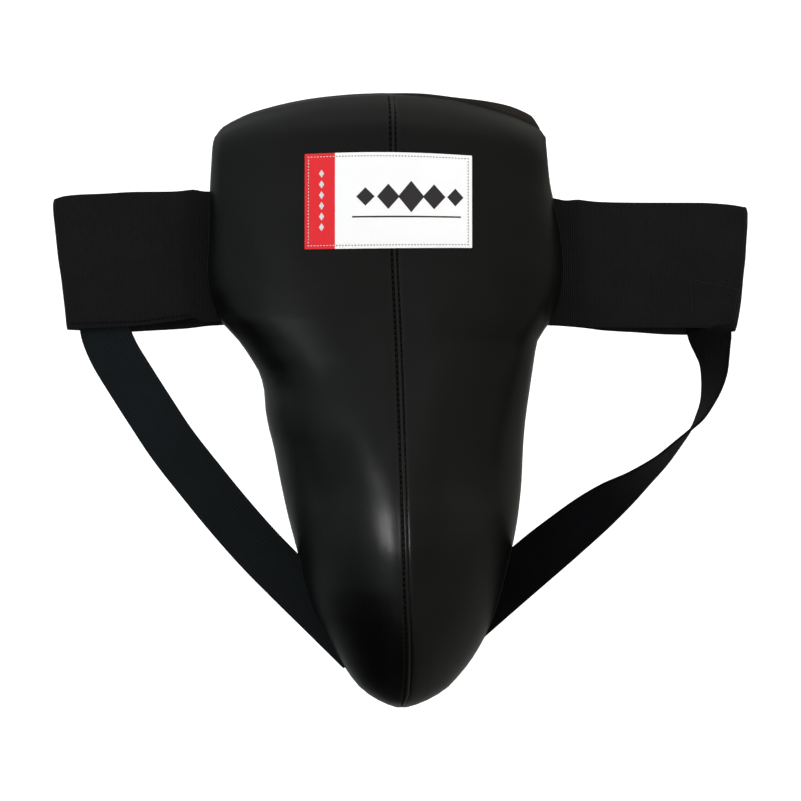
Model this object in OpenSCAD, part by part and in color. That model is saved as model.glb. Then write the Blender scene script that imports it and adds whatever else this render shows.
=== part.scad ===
// Boxing groin protector (foul guard): a padded abdomen shield and cup on an
// elastic waist loop with two elastic leg straps, lying on its back.
// +X to the wearer's left as seen from the front, +Y towards the waist edge,
// +Z out of the front of the guard. The resting surface is z = 0.

/* [Guard] */
// Overall width of the padded guard
guard_w = 202; // [190:1:214]
// Overall height of the padded guard
guard_h = 350; // [330:1:365]
// Height of the cup ridge over the resting surface
cup_top = 88; // [80:1:96]
// Thickness of the artificial leather skins
skin_t = 1.2; // [0.9:0.1:1.4]
// Thickness of the abdomen foam
foam_t = 13; // [9:0.5:15]
// Thickness of the foam over the hard cup
cup_foam_t = 6.5; // [4:0.5:8]
// Thickness of the hard plastic cup
cup_t = 3; // [2:0.25:3.5]

/* [Waist loop] */
// Half the width of the whole object, to the folds of the waist loop
loop_half = 198.4; // [185:0.2:215]
// Width of the waist elastic
band_w = 76; // [70:1:80]
// Thickness of the waist elastic
band_t = 1.5; // [1.2:0.1:1.6]

/* [Leg straps] */
// Width of the leg elastic
strap_w = 28; // [25:1:30]
// Thickness of the leg elastic
strap_t = 1.6; // [1.2:0.1:1.7]

/* [Label] */
// Width of the sewn label
label_w = 95; // [80:1:100]
// Height of the sewn label
label_h = 54; // [45:1:60]
// Width of the red end of the label
label_red_w = 17; // [12:1:24]

/* [Hidden] */
sx = guard_w / 202;
sy = guard_h / 350;
gap = 0.3;
z_tail = band_t + gap;              // underside of the sewn band ends
z_bind = z_tail + band_t + gap;     // underside of the rim binding
bind_t = 0.8;
z_rim = z_bind + bind_t + gap;      // underside of the covers
fold_r = 2.9;                       // outer radius of the loop's folds
fold_x = loop_half - fold_r;
side_z = 2 * fold_r - band_t;       // underside of the raised side panels
hinge_xl = -110.5 * sx;
hinge_xr = 93.5 * sx;
meet_x = (hinge_xl + hinge_xr) / 2; // where the two halves of the back panel meet

// Side edges of the guard: y, left x, right x
edge = [[150, -105, 82], [140, -107.5, 83.5], [125, -108.5, 85.5], [108, -109, 88.5],
        [90, -109.5, 91.5], [72, -110, 92.5], [60, -108, 90.5], [50, -104.5, 87],
        [40, -98, 82], [32, -91, 78], [22, -84, 76], [10, -78.5, 74],
        [-5, -77, 72], [-25, -72.5, 69.5], [-45, -68.5, 69], [-66, -64, 67],
        [-87, -58, 62.5], [-105, -54.5, 58], [-120, -49.5, 54.5], [-132, -43.5, 49.5],
        [-143, -37, 43.5], [-153, -31, 36], [-161, -25, 29.5], [-168, -16.5, 20.5],
        [-172.5, -9, 11], [-175, -2, 3]];
// Height of the front surface along the centre seam: y, z
ridge = [[150, 4.6], [148.5, 15], [146, 21], [142, 26], [136, 29], [125, 32],
         [108, 35], [90, 38], [72, 41], [50, 46], [32, 50.5], [10, 58], [-5, 63.5],
         [-25, 71.5], [-45, 79], [-66, 85.5], [-87, 88], [-105, 86.5], [-120, 82],
         [-132, 75], [-143, 65.5], [-153, 54], [-161, 43], [-168, 30.5],
         [-172.5, 19.5], [-175, 10]];
rows_all = [150, 148.5, 146, 142, 136, 125, 108, 90, 72, 60, 50, 40, 32, 22, 12, 3, 2.4, -8,
            -25, -45, -66, -87, -105, -120, -132, -143, -153, -161, -168, -172.5, -175];

function clamp01(t) = min(1, max(0, t));
function smooth(t) = let (c = clamp01(t)) c * c * (3 - 2 * c);
function edge_l(y) = lookup(-y, [for (e = edge) [-e[0], e[1]]]);
function edge_r(y) = lookup(-y, [for (e = edge) [-e[0], e[2]]]);
function ridge_z(y) = lookup(-y, [for (e = ridge) [-e[0], e[1]]]) * (y < 140 ? 1 + (cup_top / 88 - 1) * smooth((60 - y) / 120) : 1);
// How far a row bulges towards the waist edge at its middle
function bow(y) = 25.5 * pow(clamp01((y - 35) / 115), 1.6);
// 0 on the broad abdomen shield, 1 on the cup
function cupness(y) = smooth((50 - y) / 110);
function arch(u, y) = let (c = cupness(y), a = abs(u))
    pow(max(0, 1 - pow(a, 3.2 - 1.3 * c)), 0.46 + 0.22 * c);

// A point of the layer that lies e inside the outline and h under the front
function surf(u, y, e, h, zb) =
    let (l = edge_l(y), r = edge_r(y), hw = max(0.6, (r - l) / 2 - e), m = (l + r) / 2,
         zc = max(zb + 0.8, ridge_z(y) - h))
    [sx * (m + hw * u),
     sy * (y + bow(y) * pow(1 - u * u, 0.62)) * (1 - e / 175),
     zb + (zc - zb) * arch(u, y)];

// Rows of points over the layer, u from u0 to u1
function rowset(us, ys, e, h, zb) = [for (y = ys) [for (u = us) surf(u, y, e, h, zb)]];
// Spacing that is finer over the edge roll
function us_between(a, b, n) = [for (i = [0:n]) let (t = a + (b - a) * i / n) sin(90 * t) * (0.35) + t * 0.65];

// Closed shell between an outer and an inner grid of the same size
module shell(A, B) {
    m = len(A); n = len(A[0]);
    pts = concat([for (r = A) each r], [for (r = B) each r]);
    o = m * n;
    faces = concat(
        [for (i = [0:m-2], j = [0:n-2]) each [[i*n+j, i*n+j+1, (i+1)*n+j+1], [i*n+j, (i+1)*n+j+1, (i+1)*n+j]]],
        [for (i = [0:m-2], j = [0:n-2]) each [[o+i*n+j, o+(i+1)*n+j+1, o+i*n+j+1], [o+i*n+j, o+(i+1)*n+j, o+(i+1)*n+j+1]]],
        [for (i = [0:m-2]) each [[i*n, (i+1)*n, o+(i+1)*n], [i*n, o+(i+1)*n, o+i*n]]],
        [for (i = [0:m-2]) each [[i*n+n-1, o+(i+1)*n+n-1, (i+1)*n+n-1], [i*n+n-1, o+i*n+n-1, o+(i+1)*n+n-1]]],
        [for (j = [0:n-2]) each [[j, o+j, o+j+1], [j, o+j+1, j+1]]],
        [for (j = [0:n-2]) let (a = (m-1)*n + j) each [[a, a+1, o+a+1], [a, o+a+1, o+a]]]);
    polyhedron(points = pts, faces = faces, convexity = 6);
}

// Vertical wall ring between two closed outlines
module ring(P, Q, z0, z1) {
    difference() {
        translate([0, 0, z0]) linear_extrude(z1 - z0) polygon(P);
        translate([0, 0, z0 - 1]) linear_extrude(z1 - z0 + 2) polygon(Q);
    }
}
// Closed outline of the guard, e inside the edge, from row y0 down
function outline(e, y0) = let (ys = [for (y = rows_all) if (y <= y0) y])
    concat([for (i = [-9:9]) let (u = i / 10, p = surf(u, y0, e, 0, 0)) [p[0], p[1]]],
           [for (y = ys) let (p = surf(1, y, e, 0, 0)) [p[0], p[1]]],
           [for (k = [len(ys)-1:-1:0]) let (p = surf(-1, ys[k], e, 0, 0)) [p[0], p[1]]]);

// Ribbon along rows of [x, y, z, heading, twist]: a flat elastic strap
module ribbon(path, w, t) {
    n = len(path);
    pts = [for (p = path) let (nx = -sin(p[3]), ny = cos(p[3]), c = cos(p[4]), s = sin(p[4]))
        each [for (q = [[-1, -1], [1, -1], [1, 1], [-1, 1]])
            let (a = q[0] * w / 2, b = q[1] * t / 2)
            [p[0] + nx * (a * c - b * s), p[1] + ny * (a * c - b * s), p[2] + a * s + b * c]]];
    faces = concat([[0, 1, 2, 3]],
        [for (i = [0:n-2], k = [0:3]) let (a = i*4 + k, b = i*4 + (k+1)%4) each [[a, a+4, b+4], [a, b+4, b]]],
        [[(n-1)*4+3, (n-1)*4+2, (n-1)*4+1, (n-1)*4]]);
    polyhedron(points = pts, faces = faces, convexity = 6);
}
function lerp(a, b, t) = a + (b - a) * t;

// The seam leans from the left of centre at the waist edge to the middle of the tip
function seam_x(y) = lerp(2.4, -5.5, clamp01((y + 175) / 350));
function seam_u(y) = let (l = edge_l(y), r = edge_r(y)) clamp01((seam_x(y) - (l + r) / 2) / ((r - l) / 2) + 1) - 1;
function cover_rows(side, e, h) = [for (y = rows_all) let (s = su(y) + side * (y < -170 ? 0.03 : 0.0025))
    [for (i = [0:13]) let (t = i / 13, q = side > 0 ? s + (1 - s) * (t * 0.62 + 0.38 * sin(90 * t))
                                                    : -1 + (s + 1) * (t * 0.62 + 0.38 * (1 - cos(90 * t))))
        surf(q, y, e, h, z_rim)]];
function su(y) = let (l = edge_l(y), r = edge_r(y)) max(-0.6, min(0.6, (seam_x(y) - (l + r) / 2) / ((r - l) / 2)));

module front_cover_left() color([0.05, 0.05, 0.05]) shell(cover_rows(-1, 0, 0), cover_rows(-1, skin_t, skin_t));
module front_cover_right() color([0.05, 0.05, 0.05]) shell(cover_rows(1, 0, 0), cover_rows(1, skin_t, skin_t));

us_mid = [for (i = [-10:10]) let (t = i / 10) 0.62 * t + 0.38 * sin(90 * t)];
ys_top = [for (y = rows_all) if (y >= 3) y];
ys_cup = [for (y = rows_all) if (y < 3) y];
e1 = skin_t + gap;
e2 = e1 + foam_t;
e3 = e1 + cup_foam_t;
e4 = e3 + gap + cup_t;
module abdomen_foam() color([0.85, 0.83, 0.7])
    shell(rowset(us_mid, ys_top, e1, e1, z_rim), rowset(us_mid, ys_top, e2, e2, z_rim));
module cup_foam() color([0.85, 0.83, 0.7])
    shell(rowset(us_mid, ys_cup, e1, e1, z_rim), rowset(us_mid, ys_cup, e3, e3, z_rim));
z_cup = z_rim + 7; // the hard cup stops here and stands on its cushion
module hard_cup() color([0.9, 0.9, 0.88]) difference() {
    shell(rowset(us_mid, ys_cup, e3 + gap, e3 + gap, z_rim), rowset(us_mid, ys_cup, e4, e4, z_rim));
    translate([-200, -250, -10]) cube([400, 400, z_cup + 10]);
}
module cup_rim_cushion() color([0.8, 0.8, 0.78]) intersection() {
    shell(rowset(us_mid, ys_cup, e3 + gap, e3 + gap, z_rim), rowset(us_mid, ys_cup, e4, e4, z_rim));
    translate([-200, -250, z_rim - 1]) cube([400, 400, 8 - gap]);
}
module rear_lining() color([0.08, 0.08, 0.08])
    shell(rowset(us_mid, ys_top, e2 + gap, e2 + gap, z_rim), rowset(us_mid, ys_top, e2 + gap + 0.8, e2 + gap + 0.8, z_rim));
module cup_lining() color([0.08, 0.08, 0.08])
    shell(rowset(us_mid, ys_cup, e4 + gap, e4 + gap, z_rim), rowset(us_mid, ys_cup, e4 + gap + 0.8, e4 + gap + 0.8, z_rim));
// Flat leather binding that closes the rear edge of the pad all round
module rim_binding() color([0.07, 0.07, 0.07]) ring(outline(0.3, 150), outline(15, 148.5), z_bind, z_bind + bind_t);
// Rear gusset strip that shows past the waist edge
module top_gusset() color([0.14, 0.12, 0.11])
    shell([for (y = [0, 1]) [for (i = [-14:14]) let (u = i / 15, p = surf(u, 150, 0, 0, 0), k = 0.2 + 2.6 * smooth((u - 0.3) / 0.5) * smooth((1 - u) / 0.1))
             [p[0], p[1] + (y == 0 ? k : -8), z_tail + 1.1]]],
          [for (y = [0, 1]) [for (i = [-14:14]) let (u = i / 15, p = surf(u, 150, 0, 0, 0), k = 0.2 + 2.6 * smooth((u - 0.3) / 0.5) * smooth((1 - u) / 0.1))
             [p[0], p[1] + (y == 0 ? k : -8), z_tail + 0.1]]]);

// A short stitch lying on the front surface at u, y, turned by a
module stitch(x, y, a, len) {
    l = edge_l(y); r = edge_r(y);
    u = (x - (l + r) / 2) / ((r - l) / 2);
    yy = y - bow(y) * pow(1 - u * u, 0.62);
    p = surf(u, yy, 0, 0, z_rim);
    q = surf(u, yy - 1, 0, 0, z_rim);
    tilt = atan2(q[2] - p[2], 1);
    translate([p[0], p[1], p[2] + 0.6]) rotate([-tilt, 0, 0]) rotate([0, 0, a]) cube([0.7, len, 0.5], center = true);
}
module seam_topstitch() color([0.03, 0.03, 0.03])
    for (k = [0:46]) let (y = 168 - k * 6.8) if (y > label_y0 + label_h + 2 || y < label_y0 - 3)
        stitch(seam_x(y) - 1.9, y, -1.3, 4.2);

// Sewn label: its rows follow the arched front
label_x0 = -54.7;
label_y0 = 86;
function label_pt(x, y, h) = let (l = edge_l(y), r = edge_r(y), u = (x - (l + r) / 2) / ((r - l) / 2),
    k = pow(1 - u * u, 0.62), yy = y - 0.92 * bow(y) * k) [x, y, surf(u, yy, 0, 0, z_rim)[2] + h];
module label_piece(x0, x1, n) shell([for (j = [0:8]) [for (i = [0:n]) label_pt(x0 + (x1 - x0) * i / n, label_y0 + label_h * (8 - j) / 8, 1.5)]],
                                    [for (j = [0:8]) [for (i = [0:n]) label_pt(x0 + (x1 - x0) * i / n, label_y0 + label_h * (8 - j) / 8, 0.8)]]);
module label_red_strip() color([0.85, 0.08, 0.1]) label_piece(label_x0, label_x0 + label_red_w - 0.1, 3);
module label_white_field() color([0.95, 0.95, 0.95]) label_piece(label_x0 + label_red_w + 0.1, label_x0 + label_w, 10);
module label_stitching() color([0.6, 0.6, 0.62]) {
    for (i = [0:17], j = [0, 1]) let (x = label_x0 + 4.5 + (label_w - 9) * i / 17, y = label_y0 + (j == 0 ? 2.2 : label_h - 2.2), p = label_pt(x, y, 1.95))
        translate(p) cube([2.8, 0.5, 0.4], center = true);
    for (i = [0:9], j = [0, 1]) let (y = label_y0 + 5 + (label_h - 10) * i / 9, x = label_x0 + (j == 0 ? 2.2 : label_w - 2.2), p = label_pt(x, y, 2.0))
        translate(p) cube([0.5, 2.6, 0.4], center = true);
}

// Sewn ends of the waist elastic behind the rim
band_yl = 43; // lower edge of the left side panel
band_yr = 41;
module left_band_tail() color([0.09, 0.1, 0.1]) translate([hinge_xl + 0.3, band_yl + 1, z_tail]) cube([34, band_w - 2, band_t]);
module right_band_tail() color([0.09, 0.1, 0.1]) translate([hinge_xr - 34.3, band_yr + 1, z_tail]) cube([34, band_w - 2, band_t]);

// Side panel of the waist loop with the first part of the fold, profile in X-Z
function side_profile(s, hx) = concat(
    [[hx, z_tail], [hx + s * 14, side_z], [s * fold_x, side_z]],
    [for (a = [0:10:70]) [s * (fold_x + (fold_r - band_t) * sin(a)), fold_r + (fold_r - band_t) * cos(a)]],
    [for (a = [70:-10:0]) [s * (fold_x + fold_r * sin(a)), fold_r + fold_r * cos(a)]],
    [[hx + s * 14.5, side_z + band_t], [hx, z_tail + band_t]]);
module side_panel(s, hx, y0, w) translate([0, y0 + w, 0]) rotate([90, 0, 0]) linear_extrude(w) polygon(side_profile(s, hx));
module left_side_band() color([0.09, 0.1, 0.1]) side_panel(-1, hinge_xl, band_yl, band_w - 1);
module right_side_band() color([0.08, 0.07, 0.08]) side_panel(1, hinge_xr, band_yr, band_w - 4);
// Back panel halves, a step lower than the side panels
module left_back_band() color([0.07, 0.07, 0.07]) translate([-fold_x, 40, 0]) cube([fold_x + meet_x - 0.9, band_w + 0.5, band_t]);
module right_back_band() color([0.07, 0.07, 0.07]) translate([meet_x + 0.9, 37.5, 0]) cube([fold_x - meet_x - 0.9, band_w + 0.5, band_t]);

// Sewn ends of the leg straps between the layers of the loop
module left_strap_stub() color([0.08, 0.09, 0.1]) translate([-183, 44, band_t + 0.4]) cube([strap_w, 28, strap_t]);
module right_strap_stub() color([0.08, 0.09, 0.1]) translate([163.5, 41.5, band_t + 0.4]) cube([strap_w, 27, strap_t]);
module box_frame(x, y, w, h, z) difference() {
    translate([x, y, z]) cube([w, h, 0.5]);
    translate([x + 0.8, y + 0.8, z - 1]) cube([w - 1.6, h - 1.6, 3]);
}
module left_box_stitch() color([0.03, 0.03, 0.03]) box_frame(-181, 47, strap_w - 4, 22, side_z + band_t + 0.02);
module right_box_stitch() color([0.03, 0.03, 0.03]) box_frame(165.5, 44.5, strap_w - 4, 21, side_z + band_t + 0.02);

// Leg straps: they run flat from behind the tip to just short of the loop
zs = strap_t / 2;
left_path = [[-163.5, 28, zs, 120, 0], [-157, 16, zs, 121, 0], [-144, -4.5, zs, 123, 0], [-130, -25, zs, 127, 0],
             [-114, -45.5, zs, 129, 0], [-97, -66, zs, 130, 0], [-79, -87, zs, 133, 0], [-58, -108, zs, 135, 0],
             [-38, -128, zs, 135, 0], [-24, -142, zs, 135, 0]];
module left_leg_strap() color([0.08, 0.09, 0.1]) ribbon(left_path, strap_w, strap_t);
function tw(a) = strap_w / 2 * abs(sin(a)) + zs * abs(cos(a));
right_path = [for (p = [[178.5, 26, 87, 22], [178.8, 20, 85, 30], [178.5, 12, 80, 42], [176.5, 3, 74, 55], [173, -6, 68, 70],
             [167, -15, 56, 88], [158, -25, 46, 108], [147.5, -35, 40, 128], [134, -46, 38, 148],
             [120, -56.5, 38, 165], [104, -69, 38, 176], [90, -80, 39, 180], [70, -97, 41, 180],
             [50, -114.5, 42, 180], [36, -127.5, 43, 180], [22, -141, 44, 180]]) [p[0], p[1], tw(p[3]), p[2], p[3]]];
module right_leg_strap() color([0.08, 0.09, 0.1]) ribbon(right_path, strap_w, strap_t);

// Leather tab under the tip that holds the lower ends of both leg straps
module strap_anchor_tab() color([0.06, 0.06, 0.06]) translate([0, 0, z_tail + 0.1])
    linear_extrude(1.2) polygon([[-34, -140], [-26, -128], [26, -128], [36, -140], [24, -160], [10, -166], [-8, -166], [-22, -158]]);
front_cover_left();
front_cover_right();
seam_topstitch();
label_white_field();
label_red_strip();
label_stitching();
abdomen_foam();
cup_foam();
hard_cup();
cup_rim_cushion();
rear_lining();
cup_lining();
rim_binding();
top_gusset();
left_band_tail();
right_band_tail();
strap_anchor_tab();
left_side_band();
left_strap_stub();
left_box_stitch();
left_back_band();
right_side_band();
right_strap_stub();
right_box_stitch();
right_back_band();
left_leg_strap();
right_leg_strap();
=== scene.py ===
import bpy
import math
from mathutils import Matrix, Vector, noise


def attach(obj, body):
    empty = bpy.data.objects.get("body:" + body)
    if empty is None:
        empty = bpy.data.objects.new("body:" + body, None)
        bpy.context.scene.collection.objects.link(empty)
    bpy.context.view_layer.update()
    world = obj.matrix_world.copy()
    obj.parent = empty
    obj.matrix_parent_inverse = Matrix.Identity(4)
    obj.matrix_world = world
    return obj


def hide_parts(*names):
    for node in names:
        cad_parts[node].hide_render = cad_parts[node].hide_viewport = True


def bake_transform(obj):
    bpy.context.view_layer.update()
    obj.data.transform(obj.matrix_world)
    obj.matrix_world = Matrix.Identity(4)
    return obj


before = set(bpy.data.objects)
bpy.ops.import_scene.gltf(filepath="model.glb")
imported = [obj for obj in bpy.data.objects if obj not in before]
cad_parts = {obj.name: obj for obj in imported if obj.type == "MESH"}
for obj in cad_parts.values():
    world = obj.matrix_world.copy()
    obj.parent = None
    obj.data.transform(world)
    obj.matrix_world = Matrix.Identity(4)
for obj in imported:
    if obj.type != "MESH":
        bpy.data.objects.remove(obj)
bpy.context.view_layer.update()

MM = 0.001


# ---------------------------------------------------------------- curves
def pchip(table):
    """Smooth curve through (x, y) points that never overshoots."""
    pts = sorted(table)
    xs = [p[0] for p in pts]
    ys = [p[1] for p in pts]
    n = len(xs)
    h = [xs[i + 1] - xs[i] for i in range(n - 1)]
    d = [(ys[i + 1] - ys[i]) / h[i] for i in range(n - 1)]
    m = [0.0] * n
    m[0], m[-1] = d[0], d[-1]
    for i in range(1, n - 1):
        if d[i - 1] * d[i] > 0:
            w1, w2 = 2 * h[i] + h[i - 1], h[i] + 2 * h[i - 1]
            m[i] = (w1 + w2) / (w1 / d[i - 1] + w2 / d[i])

    def f(x):
        if x <= xs[0]:
            return ys[0]
        if x >= xs[-1]:
            return ys[-1]
        lo, hi = 0, n - 1
        while hi - lo > 1:
            mid = (lo + hi) // 2
            if xs[mid] <= x:
                lo = mid
            else:
                hi = mid
        t = (x - xs[lo]) / h[lo]
        a = (1 + 2 * t) * (1 - t) ** 2
        b = t * (1 - t) ** 2
        c = t * t * (3 - 2 * t)
        e = t * t * (t - 1)
        return a * ys[lo] + b * h[lo] * m[lo] + c * ys[lo + 1] + e * h[lo] * m[lo + 1]
    return f


def clamp(t, a=0.0, b=1.0):
    return max(a, min(b, t))


def smooth(t):
    t = clamp(t)
    return t * t * (3 - 2 * t)


def lerp(a, b, t):
    return a + (b - a) * t


# ---------------------------------------------------------------- guard surface (mm)
edge_l = pchip([(150, -105.8), (146, -106.9), (135, -107.7), (125, -108.3), (108, -108.9), (91, -109.4), (74, -110),
                (66, -109.5), (57, -107.2), (47, -103.7), (40, -97.5), (33, -91.2), (26, -86.4), (16, -80.4),
                (6, -77.6), (-5, -76.8), (-15, -75.0), (-25, -72.4), (-46, -68.2), (-66, -63.8), (-87, -58.3),
                (-108, -53.6), (-120, -49.4), (-128, -45.2), (-138, -39.9), (-148, -34.0), (-158.5, -27.0),
                (-164, -22.2), (-169, -15.4), (-173, -7.5), (-175, -1.2)])
edge_r = pchip([(150, 82.6), (146, 82.9), (135, 83.9), (125, 84.9), (108, 88.4), (95, 91.0), (85, 92.3), (74, 92.8),
                (63, 91.6), (54, 89.3), (46, 85.8), (40, 81.6), (33, 77.6), (26, 76.4), (16, 74.9), (6, 73.4),
                (-5, 71.8), (-15, 70.6), (-25, 69.8), (-46, 68.8), (-66, 66.7), (-82, 63.8), (-95, 60.6),
                (-108, 57.4), (-120, 54.0), (-128, 51.0), (-138, 46.0), (-148, 39.9), (-158.5, 31.4), (-164, 26.0),
                (-169, 18.2), (-173, 9.5), (-175, 2.2)])
arc = pchip([(0, 24.8), (0.14, 24.3), (0.285, 23.2), (0.43, 21.5), (0.574, 18.9), (0.72, 15.3), (0.80, 12.9),
             (0.864, 10.4), (0.93, 7.0), (0.97, 4.3), (1, 0)])
ridge0 = pchip([(150, 28), (136, 30.5), (125, 32.2), (108, 35), (90, 38), (72, 41.2), (50, 46), (32, 51), (10, 58.4),
                (-5, 64), (-25, 71.8), (-45, 79), (-66, 85.2), (-87, 88), (-105, 86.6), (-120, 82), (-132, 75.2),
                (-143, 65.8), (-153, 54.2), (-161, 42.5), (-168, 29.5), (-172.5, 18), (-175, 5.2)])
seam = pchip([(150, -6.9), (142, -6.0), (86, -5.1), (31, -2.5), (-30, -0.3), (-82, 1.6), (-114, 2.3), (-142, 3.0),
              (-168, 1.9), (-175, 0.6)])
Z_RIM = 4.9


def ridge(y):
    d = clamp((150 - y) / 17.0)
    return Z_RIM + (ridge0(y) - Z_RIM) * max(0.0, 1 - (1 - d) ** 2.3) ** 0.52


def cupness(y):
    return smooth((50 - y) / 110.0)


def bow(y, u):
    return arc(min(1.0, abs(u))) * clamp((y - 35) / 115.0) ** 1.6


def seg_d(px, py, ax, ay, bx, by):
    """Distance to a line and the place along it."""
    dx, dy = bx - ax, by - ay
    t = ((px - ax) * dx + (py - ay) * dy) / (dx * dx + dy * dy)
    tc = clamp(t)
    qx, qy = ax + dx * tc, ay + dy * tc
    side = (px - ax) * dy - (py - ay) * dx
    return math.hypot(px - qx, py - qy) * (1 if side > 0 else -1), t


swell_grid = {}
SW = 4.0


def swell(x, y):
    """How far the stuffed pad rose at x, y in the cloth run, mm."""
    if not swell_grid:
        return 0.0
    gx, gy = x / SW, y / SW
    i, j = math.floor(gx), math.floor(gy)
    fx, fy = gx - i, gy - j
    g = swell_grid
    return ((g.get((i, j), 0) * (1 - fx) + g.get((i + 1, j), 0) * fx) * (1 - fy) +
            (g.get((i, j + 1), 0) * (1 - fx) + g.get((i + 1, j + 1), 0) * fx) * fy)


def creases(x, y):
    """Dents and soft swellings of the padded leather, mm."""
    z = swell(x, y)
    # left waist: a fold that pinches the pad where the cup begins
    d, t = seg_d(x, y, -107, 60, -76, 12)
    k = smooth((t + 0.12) / 0.3) * smooth((1.25 - t) / 0.55)
    z -= 2.0 * k * math.exp(-(d / 3.6) ** 2)
    # right waist: a shorter, sharper fold
    d, t = seg_d(x, y, 87, 58, 74, 24)
    k = smooth((t + 0.05) / 0.3) * smooth((1.15 - t) / 0.5)
    z -= 2.4 * k * math.exp(-(d / 3.0) ** 2)
    # soft hollows beside the ridge of the cup
    z -= 2.0 * math.exp(-((x + 38) / 12) ** 2 - ((y + 42) / 34) ** 2)
    z -= 1.2 * math.exp(-((x - 40) / 13) ** 2 - ((y + 40) / 34) ** 2)
    # slow unevenness of the padding
    n = noise.noise(Vector((x * 0.021, y * 0.017, 3.1)))
    z += 0.9 * n
    n = noise.noise(Vector((x * 0.055, y * 0.048, 9.7)))
    z += 0.22 * n
    return z


def surf(u, y, e=0.0, h=0.0, zb=Z_RIM, detail=False):
    """A point e inside the outline and h under the front surface."""
    l, r = edge_l(y), edge_r(y)
    hw = max(0.5, (r - l) / 2 - e)
    m = (l + r) / 2
    zc = max(zb + 0.5, ridge(y) - h)
    c = cupness(y)
    a = min(1.0, abs(u))
    f = max(0.0, 1 - a ** (3.1 - 1.25 * c)) ** (0.46 + 0.20 * c)
    x = m + hw * u
    yy = (y + bow(y, u)) * (1 - e / 175.0)
    z = zb + (zc - zb) * f
    if detail:
        z += creases(x, yy) * smooth((z - zb) / 16.0)
    return Vector((x, yy, z))


# ---------------------------------------------------------------- the stuffed pad, by cloth simulation
def height_map(me):
    """Top height of a mesh over a grid, mm."""
    from mathutils.bvhtree import BVHTree
    tree = BVHTree.FromPolygons([v.co for v in me.vertices], [tuple(p.vertices) for p in me.polygons])
    out = {}
    for j in range(int(-176 / SW), int(176 / SW) + 1):
        for i in range(int(-112 / SW), int(96 / SW) + 1):
            hit = tree.ray_cast(Vector((i * SW * MM, j * SW * MM, 0.3)), Vector((0, 0, -1)))
            if hit[0] is not None:
                out[(i, j)] = hit[0].z / MM
    return out


def stuff_pad():
    """A coarse closed copy of the pad, slightly small, is blown up by cloth pressure with its centre seam and its
    rim sewn down. The rise of its front is kept as a height map that every visible piece follows."""
    ys = [148 - i * 318 / 74.0 for i in range(75)]
    n = 48
    vs, fs = [], []
    for y in ys:
        for k in range(n + 1):
            p = surf(-1 + 2 * k / n, y, 1.6, 1.6)
            vs.append((p.x * MM, p.y * MM, p.z * MM))
        for k in range(n + 1):
            p = surf(-1 + 2 * k / n, y, 1.6, 400)
            vs.append((p.x * MM, p.y * MM, (Z_RIM - 3.5) * MM))
    w = 2 * (n + 1)
    for r in range(len(ys) - 1):
        for k in range(n):
            a = r * w + k
            fs.append((a, a + w, a + w + 1, a + 1))
            b = a + n + 1
            fs.append((b, b + 1, b + w + 1, b + w))
        for a, b in ((r * w, r * w + n + 1), (r * w + n + n + 1, r * w + n)):
            fs.append((a, b, b + w, a + w))
    for r in (0, len(ys) - 1):
        for k in range(n):
            a, b = r * w + k, r * w + n + 1 + k
            fs.append((a, a + 1, b + 1, b) if r == 0 else (a, b, b + 1, a + 1))
    me = bpy.data.meshes.new("pad_sim")
    me.from_pydata(vs, [], fs)
    me.update()
    ob = bpy.data.objects.new("pad_sim", me)
    bpy.context.scene.collection.objects.link(ob)
    rm = ob.modifiers.new("remesh", "REMESH")
    rm.mode = "VOXEL"
    rm.voxel_size = 0.005
    dg = bpy.context.evaluated_depsgraph_get()
    base = bpy.data.meshes.new_from_object(ob.evaluated_get(dg))
    ob.modifiers.clear()
    ob.data = base
    before = height_map(base)
    pin = ob.vertex_groups.new(name="sewn")
    for v in base.vertices:
        x, y, z = v.co.x / MM, v.co.y / MM, v.co.z / MM
        hold = math.exp(-((x - seam(y) - 1.2) / 3.6) ** 2) if z > Z_RIM + 3 else 1.0
        pin.add([v.index], min(1.0, hold), "REPLACE")
    cl = ob.modifiers.new("cloth", "CLOTH")
    st = cl.settings
    st.quality = 6
    st.mass = 0.30
    st.tension_stiffness = 25
    st.compression_stiffness = 25
    st.shear_stiffness = 12
    st.bending_stiffness = 2.0
    st.vertex_group_mass = "sewn"
    st.use_pressure = True
    st.uniform_pressure_force = 4.0
    st.effector_weights.gravity = 0.0
    cl.collision_settings.use_collision = False
    cl.point_cache.frame_start = 1
    cl.point_cache.frame_end = 20
    scn = bpy.context.scene
    was = scn.frame_current
    for f in range(1, 21):
        scn.frame_set(f)
    dg = bpy.context.evaluated_depsgraph_get()
    res = bpy.data.meshes.new_from_object(ob.evaluated_get(dg))
    after = height_map(res)
    rise = {k: after[k] - before[k] for k in before if k in after}
    bpy.data.objects.remove(ob)
    for m_ in (me, base, res):
        bpy.data.meshes.remove(m_)
    scn.frame_set(was)
    if not rise:
        return
    # the travel is capped: the padding is stuffed tight, so only a small swell is left
    top = sorted(abs(v) for v in rise.values())[int(len(rise) * 0.97)]
    gain = 1.7 / max(top, 0.2)
    for k, v in rise.items():
        swell_grid[k] = clamp(v * gain, -1.2, 2.1)
    # leather is stiffer than the coarse copy's facets
    for _ in range(2):
        old = dict(swell_grid)
        for (i, j) in old:
            near = [old[(i + a, j + b)] for a in (-1, 0, 1) for b in (-1, 0, 1) if (i + a, j + b) in old]
            swell_grid[(i, j)] = sum(near) / len(near)
    print("pad rise", round(top, 2), "mm, kept", round(gain, 3), len(rise))


stuff_pad()


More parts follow.
